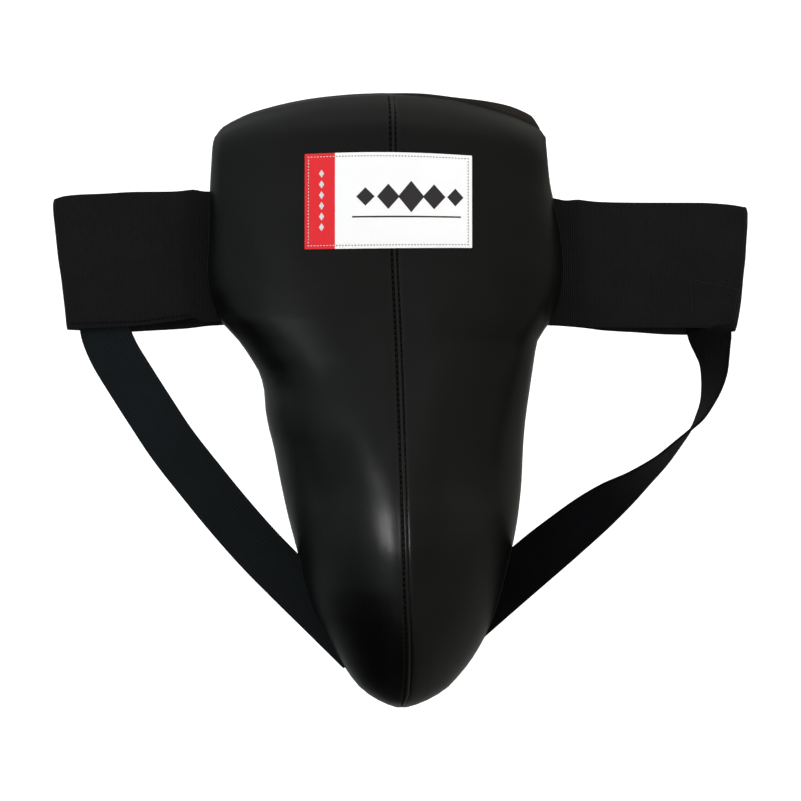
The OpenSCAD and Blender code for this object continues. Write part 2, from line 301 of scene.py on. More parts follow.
# ---------------------------------------------------------------- mesh helpers
def make(name, verts, faces, mat, uvs=None, shade=True):
    me = bpy.data.meshes.new(name)
    me.from_pydata([(v[0] * MM, v[1] * MM, v[2] * MM) for v in verts], [], faces)
    me.validate()
    me.update()
    if uvs:
        uv = me.uv_layers.new(name="UVMap")
        for lp in me.loops:
            uv.data[lp.index].uv = uvs[lp.vertex_index]
    ob = bpy.data.objects.new(name, me)
    bpy.context.scene.collection.objects.link(ob)
    me.materials.append(mat)
    if shade:
        for p in me.polygons:
            p.use_smooth = True
        me.set_sharp_from_angle(angle=math.radians(58))
    return ob


def shell(name, A, B, mat, uvA=None):
    """Closed thin piece between an outer grid A and an inner grid B."""
    m, n = len(A), len(A[0])
    o = m * n
    verts = [p for r in A for p in r] + [p for r in B for p in r]
    faces = []
    for i in range(m - 1):
        for j in range(n - 1):
            faces.append((i * n + j, (i + 1) * n + j, (i + 1) * n + j + 1, i * n + j + 1))
            faces.append((o + i * n + j, o + i * n + j + 1, o + (i + 1) * n + j + 1, o + (i + 1) * n + j))
    for i in range(m - 1):
        faces.append((i * n, o + i * n, o + (i + 1) * n, (i + 1) * n))
        faces.append((i * n + n - 1, (i + 1) * n + n - 1, o + (i + 1) * n + n - 1, o + i * n + n - 1))
    for j in range(n - 1):
        faces.append((j, j + 1, o + j + 1, o + j))
        a = (m - 1) * n + j
        faces.append((a, o + a, o + a + 1, a + 1))
    uvs = None
    if uvA:
        flat = [p for r in uvA for p in r]
        uvs = flat + flat
    return make(name, verts, faces, mat, uvs)


def outward(ob):
    import bmesh
    bm = bmesh.new()
    bm.from_mesh(ob.data)
    bmesh.ops.recalc_face_normals(bm, faces=bm.faces)
    bm.to_mesh(ob.data)
    bm.free()


# ---------------------------------------------------------------- materials
class Mat:
    def __init__(self, name):
        self.m = bpy.data.materials.new(name)
        self.m.use_nodes = True
        self.t = self.m.node_tree
        self.t.nodes.clear()
        self.out = self.t.nodes.new("ShaderNodeOutputMaterial")
        self.b = self.t.nodes.new("ShaderNodeBsdfPrincipled")
        self.t.links.new(self.b.outputs[0], self.out.inputs[0])

    def node(self, kind, **kw):
        n = self.t.nodes.new(kind)
        for k, v in kw.items():
            if k.startswith("i_"):
                n.inputs[k[2:].replace("_", " ")].default_value = v
            else:
                setattr(n, k, v)
        return n

    def link(self, a, b):
        self.t.links.new(a, b)

    def coord(self, uv=False):
        n = self.node("ShaderNodeTexCoord")
        return n.outputs["UV" if uv else "Object"]

    def math(self, op, a, b=None, clampit=False):
        n = self.node("ShaderNodeMath", operation=op, use_clamp=clampit)
        for i, v in enumerate((a, b)):
            if v is None:
                continue
            if isinstance(v, (int, float)):
                n.inputs[i].default_value = v
            else:
                self.link(v, n.inputs[i])
        return n.outputs[0]

    def noise(self, co, scale, detail=3, rough=0.55):
        n = self.node("ShaderNodeTexNoise")
        n.inputs["Scale"].default_value = scale
        n.inputs["Detail"].default_value = detail
        n.inputs["Roughness"].default_value = rough
        self.link(co, n.inputs["Vector"])
        return n.outputs["Fac"]

    def ramp(self, fac, stops):
        n = self.node("ShaderNodeValToRGB")
        while len(n.color_ramp.elements) < len(stops):
            n.color_ramp.elements.new(0.5)
        for e, (p, c) in zip(n.color_ramp.elements, stops):
            e.position = p
            e.color = (c[0], c[1], c[2], 1) if not isinstance(c, (int, float)) else (c, c, c, 1)
        self.link(fac, n.inputs[0])
        return n.outputs["Color"]

    def mix(self, fac, a, b):
        n = self.node("ShaderNodeMix", data_type="RGBA")
        if isinstance(fac, (int, float)):
            n.inputs[0].default_value = fac
        else:
            self.link(fac, n.inputs[0])
        for i, v in ((6, a), (7, b)):
            if isinstance(v, tuple):
                n.inputs[i].default_value = (v[0], v[1], v[2], 1)
            else:
                self.link(v, n.inputs[i])
        return n.outputs[2]

    def bump(self, height, dist, strength=1.0, prev=None):
        n = self.node("ShaderNodeBump")
        n.inputs["Strength"].default_value = strength
        n.inputs["Distance"].default_value = dist
        self.link(height, n.inputs["Height"])
        if prev is not None:
            self.link(prev, n.inputs["Normal"])
        return n.outputs["Normal"]

    def stretch(self, co, s):
        n = self.node("ShaderNodeMapping")
        n.inputs["Scale"].default_value = s
        self.link(co, n.inputs["Vector"])
        return n.outputs[0]

    def wave(self, co, scale, axis="X", distortion=0.0):
        n = self.node("ShaderNodeTexWave", wave_type="BANDS", bands_direction=axis)
        n.inputs["Scale"].default_value = scale
        n.inputs["Distortion"].default_value = distortion
        n.inputs["Detail"].default_value = 1.0
        n.inputs["Detail Scale"].default_value = 1.5
        self.link(co, n.inputs["Vector"])
        return n.outputs["Fac"]


def leather(name, dark=(0.0014, 0.0014, 0.0014), light=(0.0024, 0.0024, 0.0023), rough=0.33, grain=1.0):
    m = Mat(name)
    co = m.coord()
    big = m.noise(co, 22, 3)
    fine = m.noise(co, 420, 2)
    col = m.mix(m.ramp(big, [(0.35, 0.0), (0.68, 1.0)]), dark, light)
    pt = m.node("ShaderNodeNewGeometry").outputs["Pointiness"]
    wear = m.ramp(pt, [(0.50, 0.0), (0.56, 1.0)])
    col = m.mix(m.math("MULTIPLY", wear, 0.35), col, (0.022, 0.0215, 0.021))
    m.link(col, m.b.inputs["Base Color"])
    r = m.math("ADD", m.math("MULTIPLY", big, 0.10), rough - 0.05)
    r = m.math("ADD", r, m.math("MULTIPLY", fine, 0.05))
    m.link(r, m.b.inputs["Roughness"])
    m.b.inputs["Specular IOR Level"].default_value = 0.5
    v = m.node("ShaderNodeTexVoronoi", feature="DISTANCE_TO_EDGE")
    v.inputs["Scale"].default_value = 1050
    warp = m.node("ShaderNodeVectorMath", operation="ADD")
    m.link(co, warp.inputs[0])
    nz = m.node("ShaderNodeTexNoise")
    nz.inputs["Scale"].default_value = 260
    m.link(co, nz.inputs["Vector"])
    sc = m.node("ShaderNodeVectorMath", operation="SCALE")
    sc.inputs["Scale"].default_value = 0.0012
    m.link(nz.outputs["Color"], sc.inputs[0])
    m.link(sc.outputs[0], warp.inputs[1])
    m.link(warp.outputs[0], v.inputs["Vector"])
    cell = m.ramp(v.outputs["Distance"], [(0.0, 0.0), (0.16, 1.0)])
    b1 = m.bump(cell, 0.00004 * grain, 0.35)
    b2 = m.bump(m.noise(co, 700, 3), 0.00005 * grain, 0.35, b1)
    b3 = m.bump(m.noise(co, 60, 3), 0.0005, 0.22, b2)
    m.link(b3, m.b.inputs["Normal"])
    return m.m


def elastic(name, base=(0.0050, 0.0048, 0.0054), hi=(0.0150, 0.0142, 0.0156), uv=True, pitch_len=0.0011, pitch_w=0.0016,
            along=True, rough=0.92, sheen=0.05):
    """Woven elastic: u runs across the width, v along the length, both in metres."""
    m = Mat(name)
    co = m.coord(uv)
    s_len = 2 * math.pi / (20 * pitch_len)
    s_w = 2 * math.pi / (20 * pitch_w)
    rib_len = m.wave(co, s_len, "Y", 1.2)    # bars across the band, repeating along its length
    rib_w = m.wave(co, s_w, "X", 0.8)        # cords along the band
    fuzz = m.noise(m.coord(), 2600, 2)
    blotch = m.noise(m.coord(), 38, 3)
    main, other = (rib_w, rib_len) if along else (rib_len, rib_w)
    h = m.math("ADD", m.math("MULTIPLY", main, 0.88), m.math("MULTIPLY", other, 0.12))
    f = m.math("ADD", m.math("MULTIPLY", h, 0.36), m.math("MULTIPLY", fuzz, 0.64))
    col = m.mix(m.ramp(f, [(0.30, 0.0), (0.80, 1.0)]), base, hi)
    col = m.mix(m.math("MULTIPLY", m.ramp(blotch, [(0.4, 0.0), (0.7, 1.0)]), 0.35), col, base)
    m.link(col, m.b.inputs["Base Color"])
    m.b.inputs["Roughness"].default_value = rough
    m.b.inputs["Specular IOR Level"].default_value = 0.12
    m.b.inputs["Sheen Weight"].default_value = sheen
    m.b.inputs["Sheen Roughness"].default_value = 0.5
    m.b.inputs["Sheen Tint"].default_value = (0.55, 0.57, 0.62, 1)
    b = m.bump(h, 0.00035, 0.7)
    b = m.bump(fuzz, 0.0003, 0.6, b)
    m.link(b, m.b.inputs["Normal"])
    return m.m


def woven(name, base, dark, rough=0.75, pitch=0.0006, sheen=0.1, depth=0.0001, spec=0.3):
    m = Mat(name)
    co = m.coord()
    s = 2 * math.pi / (20 * pitch)
    a = m.wave(co, s, "X", 0.3)
    b_ = m.wave(co, s, "Y", 0.3)
    h = m.math("MULTIPLY", a, b_)
    n = m.noise(co, 45, 3)
    f = m.math("ADD", m.math("MULTIPLY", h, 0.35), m.math("MULTIPLY", n, 0.65))
    m.link(m.mix(m.ramp(f, [(0.2, 0.0), (0.8, 1.0)]), dark, base), m.b.inputs["Base Color"])
    m.b.inputs["Roughness"].default_value = rough
    m.b.inputs["Specular IOR Level"].default_value = spec
    m.b.inputs["Sheen Weight"].default_value = sheen
    b = m.bump(h, depth, 0.6)
    m.link(b, m.b.inputs["Normal"])
    return m.m


def foam_mat(name, base, dark):
    m = Mat(name)
    co = m.coord()
    v = m.node("ShaderNodeTexVoronoi")
    v.inputs["Scale"].default_value = 900
    m.link(co, v.inputs["Vector"])
    m.link(m.mix(m.noise(co, 30, 3), dark, base), m.b.inputs["Base Color"])
    m.b.inputs["Roughness"].default_value = 0.95
    m.link(m.bump(v.outputs["Distance"], 0.0004, 0.7), m.b.inputs["Normal"])
    return m.m


def plastic_mat(name, base, dark):
    m = Mat(name)
    co = m.coord()
    m.link(m.mix(m.noise(co, 25, 3), dark, base), m.b.inputs["Base Color"])
    n = m.noise(co, 500, 2)
    m.link(m.math("ADD", m.math("MULTIPLY", n, 0.2), 0.35), m.b.inputs["Roughness"])
    m.link(m.bump(n, 0.00006, 0.5), m.b.inputs["Normal"])
    return m.m


M_LEATHER = leather("black_leather")
M_LEATHER2 = leather("black_leather_trim", rough=0.46)
M_GUSSET = leather("black_leather_gusset", dark=(0.012, 0.010, 0.008), light=(0.022, 0.018, 0.015), rough=0.5)
M_BAND = elastic("waist_elastic", along=False)
M_STRAP = elastic("leg_elastic", base=(0.0030, 0.0039, 0.0046), hi=(0.0095, 0.0122, 0.0142), along=True, pitch_w=0.0017,
                  pitch_len=0.0012, rough=0.85, sheen=0.2)
# painted shade: a darker copy of the same leg elastic, for the right strap, whose darker colour stands for the shade it
# lies in
M_STRAP_PAINTED_SHADE = elastic("leg_elastic_painted_shade", base=(0.0010, 0.0009, 0.0012), hi=(0.0045, 0.0040, 0.0052), along=True,
                       pitch_w=0.0017, pitch_len=0.0009, sheen=0.02)
M_WHITE = woven("label_white_weave", (0.96, 0.96, 0.96), (0.93, 0.93, 0.93), rough=0.6, pitch=0.0005, sheen=0.0,
                depth=0.00004)
M_RED = woven("label_red_weave", (0.79, 0.034, 0.044), (0.73, 0.026, 0.034), rough=0.6, pitch=0.0005, sheen=0.0,
              depth=0.00004)
M_CHAR = woven("label_charcoal_print", (0.040, 0.036, 0.038), (0.030, 0.027, 0.029), rough=0.7, pitch=0.0005,
               sheen=0.0, depth=0.00003)
M_THREAD = woven("black_thread", (0.0016, 0.0016, 0.0016), (0.0009, 0.0009, 0.0009), rough=0.42, pitch=0.0004, sheen=0.0,
                 depth=0.0001, spec=0.10)
M_GTHREAD = woven("black_thread_waxed", (0.0040, 0.0040, 0.0042), (0.0022, 0.0022, 0.0024), rough=0.30, pitch=0.0004,
                  sheen=0.0, depth=0.00008, spec=0.6)
M_LTHREAD = woven("grey_thread", (0.36, 0.36, 0.38), (0.25, 0.25, 0.27), rough=0.6, pitch=0.0004, depth=0.0001)
M_WTHREAD = woven("white_thread", (0.80, 0.78, 0.79), (0.66, 0.64, 0.65), rough=0.6, pitch=0.0004, depth=0.0001)
M_LINING = woven("black_lining", (0.020, 0.020, 0.021), (0.012, 0.012, 0.013), rough=0.9, pitch=0.0012, sheen=0.3,
                 depth=0.0002)
M_FOAM = foam_mat("foam_cells", (0.62, 0.58, 0.42), (0.50, 0.46, 0.33))
M_CUP = plastic_mat("cup_plastic", (0.72, 0.72, 0.70), (0.62, 0.62, 0.60))

# ---------------------------------------------------------------- guard covers
TH = 1.2
rows = [150 - 9 * (i / 16.0) ** 1.7 for i in range(16)]
rows += [141 - i * (141 + 163) / 216.0 for i in range(217)]
rows += [-163 - 12 * (1 - (1 - i / 18.0) ** 1.8) for i in range(1, 19)]
rows = sorted(set(round(r, 4) for r in rows), reverse=True)


def u_of(x, y):
    l, r = edge_l(y), edge_r(y)
    return (x - (l + r) / 2) / max(0.5, (r - l) / 2)


def seam_profile(s, k):
    """Height over the padding at a distance s to the right of the topstitch, mm.
    The left panel laps over the right one: its folded edge is at s = LAP, its topstitch at 0."""
    z = 0.80 * math.exp(-((s - 1.5) / 1.25) ** 2)
    z -= 0.26 * math.exp(-(s / 0.62) ** 2)
    z -= 0.20 * math.exp(-((s + 2.6) / 2.4) ** 2)
    return z * k


LAP = 2.9


# holes pulled in by the topstitch: places along the seam
def seam_point(y, s, e=0.0, h=0.0, det=True):
    x = seam(y) + s
    u = clamp(u_of(x, y), -1, 1)
    return surf(u, y, e, h, detail=det)


PITCH = 3.3
stitch_rows = []
acc, prev, yy = 0.0, None, 149.6
while yy > -174.2:
    p = seam_point(yy, 0)
    if prev is not None:
        acc += (p - prev).length
        if acc >= PITCH:
            acc -= PITCH
            stitch_rows.append(yy)
    prev = p
    yy -= 0.12
hole_y = [seam_point(v, 0).y for v in stitch_rows]


def hole_dip(s, y):
    # nearest stitch hole
    lo, hi = 0, len(hole_y) - 1
    while hi - lo > 1:
        mid = (lo + hi) // 2
        if hole_y[mid] > y:
            lo = mid
        else:
            hi = mid
    d = min(abs(hole_y[lo] - y), abs(hole_y[hi] - y))
    a = -0.85 * math.exp(-(d / 0.85) ** 2 - (s / 0.72) ** 2)
    return a - 0.40 * smooth((y + 80) / 30.0) * math.exp(-(d / 0.7) ** 2 - ((s - LAP) / 0.5) ** 2)


# columns near the seam, by distance from its centre line
near_l = [-13, -9.5, -7, -5, -3.7, -2.7, -2.0, -1.5, -1.1, -0.75, -0.5, -0.25, 0, 0.25, 0.5, 0.75, 1.1, 1.5, 1.9, 2.2,
          2.5, 2.7, 2.82, LAP]
near_r = [2.7, 2.86, 3.05, 3.3, 3.6, 4.0, 4.6, 5.4, 6.5, 8, 10.5, 14]
N_OUT = 54


def under_wrap(y, u, k):
    """The cover turned in under the rim."""
    p = surf(u, y, 0)
    q = surf(u, y, 9 * k)
    return Vector((q.x, q.y, Z_RIM - 0.1 - 0.25 * math.sin(math.pi * min(1, k * 1.5))))


def cover(side):
    A, B = [], []
    for y in rows:
        l, r = edge_l(y), edge_r(y)
        hw, m = (r - l) / 2, (l + r) / 2
        squeeze = clamp(hw / 20.0, 0.02, 1)
        ra, rb = [], []
        cols = near_l if side < 0 else near_r
        lim = [c * squeeze for c in cols]
        us = [(seam(y) + c - m) / hw for c in lim]
        us = [clamp(v, -0.98, 0.98) for v in us]
        if side < 0:
            far = us[0]
            outer = [(-1 + (far + 1) * (1 - math.cos(math.pi / 2 * i / N_OUT)) ** 1.0) for i in range(N_OUT)]
            full = outer + us
            ss = [None] * len(outer) + cols
        else:
            far = us[-1]
            outer = [1 - (1 - far) * (1 - math.cos(math.pi / 2 * i / N_OUT)) for i in range(N_OUT - 1, -1, -1)]
            full = us + outer
            ss = cols + [None] * len(outer)
        kseam = smooth((ridge(y) - Z_RIM) / 9.0)
        for u, s in zip(full, ss):
            p = surf(u, y, 0, 0, detail=True)
            q = surf(u, y, TH, TH, detail=True)
            if s is not None:
                z = seam_profile(s, kseam)
                if side < 0:
                    z += hole_dip(s, p.y) * kseam
                    if s > 2.35:
                        z -= 0.60 * smooth((s - 2.35) / 0.55) * kseam
                else:
                    z = -0.05 - 0.42 * math.exp(-((s - 3.0) / 0.55) ** 2) * kseam
                    z += 0.16 * math.exp(-((s - 5.0) / 2.2) ** 2) * kseam
                    z += hole_dip(s, p.y) * kseam
                p.z += z
                q.z += min(z, 0.0)
            ra.append(p)
            rb.append(q)
        A.append(ra)
        B.append(rb)
    name = "cover_left_panel" if side < 0 else "cover_right_panel"
    ob = shell(name, A, B, M_LEATHER)
    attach(ob, "guard")
    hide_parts("front_cover_left" if side < 0 else "front_cover_right")
    return ob


cover_l = cover(-1)
cover_r = cover(1)


# ---------------------------------------------------------------- stitches
def capsule(verts, faces, p, d, n, length, w, hgt, seg=6):
    """A short thread: arched along d, on the surface with normal n."""
    d = d.normalized()
    n = (n - d * n.dot(d)).normalized()
    t = d.cross(n)
    rings = [(-0.5, 0.25, -0.35), (-0.42, 0.75, 0.05), (-0.2, 1.0, 0.8), (0.0, 1.0, 1.0), (0.2, 1.0, 0.8),
             (0.42, 0.75, 0.05), (0.5, 0.25, -0.35)]
    base = len(verts)
    for (a, r, lift) in rings:
        c = p + d * (a * length) + n * (hgt * (lift - 0.2))
        for k in range(seg):
            g = 2 * math.pi * k / seg
            verts.append(c + t * (math.cos(g) * w / 2 * r) + n * (math.sin(g) * hgt * 0.75 * r))
    m = len(rings)
    for i in range(m - 1):
        for k in range(seg):
            a, b = base + i * seg + k, base + i * seg + (k + 1) % seg
            faces.append((a, b, b + seg, a + seg))
    faces.append(tuple(base + k for k in range(seg - 1, -1, -1)))
    faces.append(tuple(base + (m - 1) * seg + k for k in range(seg)))


def seam_frame(y, s):
    p = seam_point(y, s)
    a = seam_point(y + 0.6, s)
    b = seam_point(y - 0.6, s)
    c = seam_point(y, s + 0.8)
    d = (a - b)
    n = d.cross(c - p)
    if n.z < 0:
        n = -n
    return p, d, n.normalized()


LABEL = (-54.4, 85.6, 95.0, 54.6)   # left, bottom, width, height
vs, fs, v2, f2 = [], [], [], []
for a, b in zip(stitch_rows[:-1], stitch_rows[1:]):
    y = (a + b) / 2
    p, d, n = seam_frame(y, 0)
    if LABEL[1] + 1 < p.y < LABEL[1] + LABEL[3] - 1:
        continue
    k = smooth((ridge(y) - Z_RIM) / 9.0)
    # the thread bridges from hole to hole at a slight slant, as a lockstitch does
    capsule(v2, f2, p + n * (-0.02 * k), (d.normalized() + Vector((0.20, 0, 0))), n, PITCH * 0.60, 0.50, 0.30)
    # the pulled-in thread end, dark, down in its hole
    p, d, n = seam_frame(a, 0)
    capsule(vs, fs, p + n * (-0.50 * k), d, n, 1.55, 1.25, 0.5)
    # finer second row along the lapped edge
    if a < -66:
        continue        # further down the lapped edge is closed by the topstitch alone
    hw = (edge_r(a) - edge_l(a)) / 2
    p, d, n = seam_frame(a, LAP * clamp(hw / 20.0, 0.02, 1))
    capsule(vs, fs, p + n * (-0.36 * k), d, n, 1.25, 0.60, 0.34)
seam_thread = make("seam_thread", vs, fs, M_THREAD)
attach(seam_thread, "guard")
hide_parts("seam_topstitch")
seam_bridge = make("seam_thread_bridges", v2, f2, M_GTHREAD)
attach(seam_bridge, "guard")


# ---------------------------------------------------------------- label
def on_guard(x, y, lift=0.0, det=True):
    """The point of the front surface over x, y."""
    yp = y
    for _ in range(12):
        u = clamp(u_of(x, yp), -1, 1)
        yp = y - bow(yp, u)
    u = clamp(u_of(x, yp), -1, 1)
    p = surf(u, yp, detail=det)
    return Vector((x, y, p.z + lift))


def label_xy(a, b):
    """a, b from 0 to 1 over the label; it was cut nearly square and its top edge bows up a little."""
    x0, y0, w, h = LABEL
    x = x0 + w * a + 0.35 * b * (1 if a > 0.5 else 0) * 0
    top = y0 + h - 0.3 + 1.5 * math.sin(math.pi * clamp(a)) * 1.0 - 0.9 * a
    bot = y0 + 0.0 + 0.9 * a + 0.25 * math.sin(math.pi * a)
    return x, lerp(bot, top, b)


def label_h(a, b):
    # sags between the stitches, pulled down along its stitched edge
    return 0.95 + 0.16 * smooth(min(a, 1 - a) * 16) * smooth(min(b, 1 - b) * 9)


def label_piece(name, a0, a1, na, nb, mat, lift=0.0, thick=0.8, b0=0.0, b1=1.0):
    A, B = [], []
    for j in range(nb + 1):
        b = b1 - (b1 - b0) * j / nb
        ra, rb = [], []
        for i in range(na + 1):
            a = a0 + (a1 - a0) * i / na
            x, y = label_xy(a, b)
            p = on_guard(x, y, 0, False)
            c = 0.6 * creases(x, y)
            ra.append(Vector((x, y, p.z + c + label_h(a, b) + lift)))
            rb.append(Vector((x, y, p.z + c + label_h(a, b) + lift - thick)))
        A.append(ra)
        B.append(rb)
    ob = shell(name, A, B, mat)
    bv = ob.modifiers.new("edge", "BEVEL")
    bv.width = 0.00018
    bv.segments = 2
    bv.limit_method = "ANGLE"
    bv.angle_limit = math.radians(60)
    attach(ob, "guard")
    return ob


SPLIT = 0.181
lab_r = label_piece("label_red", 0.0, SPLIT + 0.006, 14, 34, M_RED)
lab_w = label_piece("label_white", SPLIT, 1.0, 60, 34, M_WHITE, lift=0.10)
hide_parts("label_red_strip")
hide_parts("label_white_field")


def label_pt(a, b, lift):
    x, y = label_xy(a, b)
    p = on_guard(x, y, 0, False)
    return Vector((x, y, p.z + 0.6 * creases(x, y) + label_h(a, b) + lift))


def label_stitches(name, a_lo, a_hi, mat, left, right, lift, sides=True):
    vs, fs = [], []
    w, h = LABEL[2], LABEL[3]
    step = 1.78
    ia, ib = 2.15 / w, 2.0 / h
    n = int(round((w * (1 - 2 * ia)) / step))
    for k in range(n + 1):
        a = ia + (1 - 2 * ia) * k / n
        if not (a_lo <= a <= a_hi):
            continue
        for b in (ib, 1 - ib):
            p = label_pt(a, b, lift)
            q = label_pt(a + 0.004, b, lift)
            capsule(vs, fs, p, q - p, Vector((0, 0.05, 1)), 1.08, 0.52, 0.26, 6)
    m = int(round(h * (1 - 2 * ib) / step))
    for k in range(1, m):
        b = ib + (1 - 2 * ib) * k / m
        for a, on in ((ia, left), (1 - ia, right)):
            if not on:
                continue
            p = label_pt(a, b, lift)
            q = label_pt(a, b + 0.006, lift)
            capsule(vs, fs, p, q - p, Vector((0, 0.05, 1)), 1.08, 0.52, 0.26, 6)
    ob = make(name, vs, fs, mat)
    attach(ob, "guard")
    return ob


st_w = label_stitches("label_stitch_grey", SPLIT + 0.01, 1.0, M_LTHREAD, False, True, 0.16)
st_r = label_stitches("label_stitch_white", 0.0, SPLIT - 0.002, M_WTHREAD, True, False, 0.06)
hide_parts("label_stitching")


def patch(name, pts, mat, slot_name, lift, n=10):
    """A flat printed shape: a convex outline in label coordinates (mm from the lower left corner)."""
    w, h = LABEL[2], LABEL[3]
    cx = sum(p[0] for p in pts) / len(pts)
    cy = sum(p[1] for p in pts) / len(pts)
    ring_n = len(pts)
    vs, fs = [], []
    for k in range(n + 1):
        t = k / n
        for (x, y) in pts:
            vs.append(label_pt(lerp(cx, x, max(t, 0.001)) / w, lerp(cy, y, max(t, 0.001)) / h, lift))
    for k in range(n):
        for i in range(ring_n):
            a, b = k * ring_n + i, k * ring_n + (i + 1) % ring_n
            fs.append((a, a + ring_n, b + ring_n, b))
    o = len(vs)
    vs += [v - Vector((0, 0, 0.10)) for v in vs[:o]]
    fs += [tuple(reversed([i + o for i in f])) for f in list(fs)]
    last = n * ring_n
    for i in range(ring_n):
        a, b = last + i, last + (i + 1) % ring_n
        fs.append((a, a + o, b + o, b))
    fs.append(tuple(range(ring_n - 1, -1, -1)))
    fs.append(tuple(o + i for i in range(ring_n)))
    return vs, fs


def merge_patches(name, shapes, mat, slot_name, lift):
    V, F = [], []
    for pts in shapes:
        dense = []
        for a, b in zip(pts, pts[1:] + pts[:1]):
            for k in range(6):
                dense.append((lerp(a[0], b[0], k / 6), lerp(a[1], b[1], k / 6)))
        v, f = patch(name, dense, mat, slot_name, lift, 6)
        o = len(V)
        V += v
        F += [tuple(i + o for i in q) for q in f]
    ob = make(name, V, F, mat, shade=False)
    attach(ob, "guard")
    return ob


def diamond(cx, cy, rx, ry):
    return [(cx - rx, cy), (cx, cy - ry), (cx + rx, cy), (cx, cy + ry)]


marks = [diamond(34.5, 29.5, 5.2, 5.2), diamond(47.5, 29.5, 6.4, 7.2), diamond(60.5, 29.5, 7.4, 9.0),
         diamond(73.5, 29.5, 6.4, 7.2), diamond(86 - 0.5, 29.5, 4.6, 5.2)]
bar = [[(27, 17.6), (88.6, 17.6), (88.6, 18.5), (27, 18.5)]]
prt = merge_patches("label_device", marks + bar, M_CHAR, "label_thread", 0.19)
red_marks = [diamond(9.6, 12.5 + 6.1 * k, 1.5, 2.3) for k in range(6)]
prr = merge_patches("label_red_device", red_marks, M_WTHREAD, "label_thread", 0.09)

# ---------------------------------------------------------------- rear of the guard
def grid_piece(name, ys, e, h, thick, zb, mat, n=44, wobble=0.0, follow=False, step={}):
    A, B = [], []
    for y in ys:
        ra, rb = [], []
        up = step.get(y, 0.0)
        for i in range(n + 1):
            t = -1 + 2 * i / n
            u = 0.55 * t + 0.45 * math.sin(math.pi / 2 * t)
            p = surf(u, y, e - up, h - up, zb, detail=follow)
            q = surf(u, y, e + thick - up, h + thick - up, zb)
            if follow:
                p.z -= 0.5
                q.z = min(q.z, p.z - 2.0) if p.z > zb + 2 else q.z
            w = wobble * (noise.noise(Vector((p.x * 0.06, p.y * 0.05, 1.3))) - 0.2)
            w *= smooth((p.z - zb) / 8)
            ra.append(Vector((p.x, p.y, p.z)))
            rb.append(Vector((q.x, q.y, q.z - abs(w))))
        A.append(ra)
        B.append(rb)
    return shell(name, A, B, mat)


E2 = TH + 0.3 + 13
E4 = TH + 0.3 + 6.5 + 0.3 + 3
top_rows = [y for y in rows if y >= 3][::3] + [3.0]
cup_rows = [2.4] + [y for y in rows if y < 2.4][::3]
# the lining turns up over the end of the abdomen foam, to meet the thinner cup
turn = {2.9: 1.1, 2.8: 2.2, 2.7: 3.0}
lin_t = grid_piece("rear_lining_cloth", top_rows + list(turn), E2 + 0.3, E2 + 0.3, 0.8, Z_RIM, M_LINING,
                   wobble=0.8, step=turn)
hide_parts("rear_lining")
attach(lin_t, "guard")
lin_c = grid_piece("cup_lining_cloth", cup_rows, E4 + 0.3, E4 + 0.3, 0.8, Z_RIM, M_LINING, wobble=0.6)
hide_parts("cup_lining")
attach(lin_c, "guard")


fo_t = grid_piece("abdomen_foam_pad", top_rows, TH + 0.5, TH + 0.5, 12.6, Z_RIM, M_FOAM, n=36, follow=True)
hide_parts("abdomen_foam")
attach(fo_t, "guard")
fo_c = grid_piece("cup_foam_pad", cup_rows, TH + 0.5, TH + 0.5, 6.1, Z_RIM, M_FOAM, n=36, follow=True)
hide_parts("cup_foam")
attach(fo_c, "guard")


def outline(e):
    """The guard's rear outline, e inside the edge, anticlockwise from the top left."""
    pts = []
    for i in range(-19, 20):
        u = i / 20.0
        p = surf(u, 150, e)
        pts.append((p.x, p.y))
    ys = [y for y in rows][::4]
    for y in ys:
        p = surf(1, y, e)
        pts.append((p.x, p.y))
    for y in reversed(ys):
        p = surf(-1, y, e)
        pts.append((p.x, p.y))
    return pts


def rim_ring(name, prof, mat):
    """A strip round the rim: prof is a closed loop of (inset, z)."""
    loops = [outline(e) for e, z in prof]
    n = len(loops[0])
    vs, fs = [], []
    for (e, z), lp in zip(prof, loops):
        for (x, y) in lp:
            k = 0.35 * noise.noise(Vector((x * 0.05, y * 0.05, 0.7)))
            vs.append(Vector((x, y, z + (k if 1 < e < 14 and z < 4.3 else 0))))
    m = len(prof)
    for a in range(m):
        b = (a + 1) % m
        for i in range(n):
            j = (i + 1) % n
            fs.append((a * n + i, a * n + j, b * n + j, b * n + i))
    ob = make(name, vs, fs, mat)
    outward(ob)
    return ob


rim = rim_ring("rim_binding_leather", [(0.1, 4.95), (-0.25, 4.5), (0.1, 3.95), (1.2, 3.6), (4, 3.62), (8, 3.58), (11.5, 3.62),
                                       (13.6, 3.75), (14.9, 4.4), (15.3, 5.6), (13.5, 5.2), (8, 4.7), (3, 4.75)],
               M_LEATHER2)
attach(rim, "guard")
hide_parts("rim_binding")

# stitching that holds the lining to the binding, seen from behind
vs, fs = [], []
lp = outline(11.8)
acc = 0.0
for (x0, y0), (x1, y1) in zip(lp, lp[1:] + lp[:1]):
    seg = math.hypot(x1 - x0, y1 - y0)
    while acc < seg:
        t = acc / max(seg, 1e-6)
        if seg > 0.01:
            capsule(vs, fs, Vector((lerp(x0, x1, t), lerp(y0, y1, t), 3.6)), Vector((x1 - x0, y1 - y0, 0)),
                    Vector((0, 0, -1)), 2.9, 0.62, 0.34)
        acc += 3.9
    acc -= seg
rim_thread = make("rim_thread", vs, fs, M_THREAD)
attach(rim_thread, "guard")

